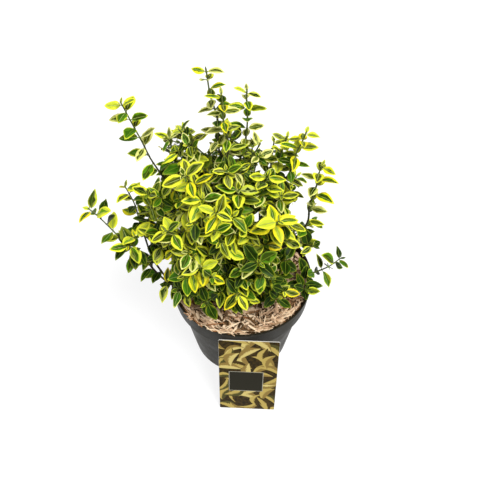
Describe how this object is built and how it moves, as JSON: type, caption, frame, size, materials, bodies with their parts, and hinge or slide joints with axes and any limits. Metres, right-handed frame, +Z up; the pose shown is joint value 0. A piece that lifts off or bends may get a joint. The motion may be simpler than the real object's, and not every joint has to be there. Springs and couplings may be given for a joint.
{
  "type": "potted emerald n gold wintercreeper",
  "caption": "Young variegated evergreen shrub with upright leafy shoots in a round nursery pot topped with bark mulch, a wordless printed card leaning on the pot.",
  "frame": {"origin": "middle of the pot's flat underside", "axes": "+Z up through the plant, -Y towards the picture card and the viewer, +X to the viewer's right"},
  "size_m": [0.3121, 0.2372, 0.4405],
  "materials": {
    "pot_plastic": "satin anthracite, a little dusty",
    "bark_mulch": "rough bark and straw-coloured wood chips",
    "old_wood": "thin greenish-brown bark",
    "printed_card": "glossy printed card",
    "foliage": "leathery leaves, green heart and yellow margin, satin"
  },
  "bodies": {
    "root": {"pot": "pot_plastic", "mulch": "bark_mulch", "trunk": "old_wood", "picture_card": "printed_card", "bough_crown_back": "old_wood", "bough_crown_right": "old_wood", "bough_left": "old_wood", "bough_far_left": "old_wood", "bough_back_left": "old_wood", "bough_front_left": "old_wood", "bough_right": "old_wood", "bough_back_right": "old_wood", "bough_far_right": "old_wood", "bough_low_right": "old_wood", "bough_front": "old_wood", "bough_front_right": "old_wood", "bough_front_low_left": "old_wood", "bough_back": "old_wood", "bough_side_left": "old_wood", "mass_spire_back": "foliage", "mass_spire_front": "foliage", "mass_spire_right": "foliage", "mass_crown_heart": "foliage", "mass_left_spire": "foliage", "mass_left_wing": "foliage", "mass_far_left": "foliage", "mass_left_low": "foliage", "mass_left_inner": "foliage", "mass_back_left_high": "foliage", "mass_left_knot": "foliage", "mass_rosette_left": "foliage", "mass_right_spire": "foliage", "mass_right_inner": "foliage", "mass_back_right_high": "foliage", "mass_back_right": "foliage", "mass_far_right": "foliage", "mass_right_side": "foliage", "mass_low_right": "foliage", "mass_rim_right": "foliage", "mass_front_high": "foliage", "mass_front_rosette": "foliage", "mass_front_right_high": "foliage", "mass_front_right": "foliage", "mass_front_left": "foliage", "mass_front_left_low": "foliage", "mass_back_mid": "foliage", "mass_back_low": "foliage", "mass_back_left_side": "foliage", "mass_back_left_low": "foliage", "mass_back_right_side": "foliage", "mass_back_right_low": "foliage", "mass_left_middle": "foliage", "mass_right_middle": "foliage", "mass_side_left": "foliage", "mass_skirt_left": "foliage", "mass_skirt_front_left": "foliage", "mass_skirt_front": "foliage", "mass_skirt_front_right": "foliage", "mass_front_mid": "foliage"}
  },
  "joints": []
}
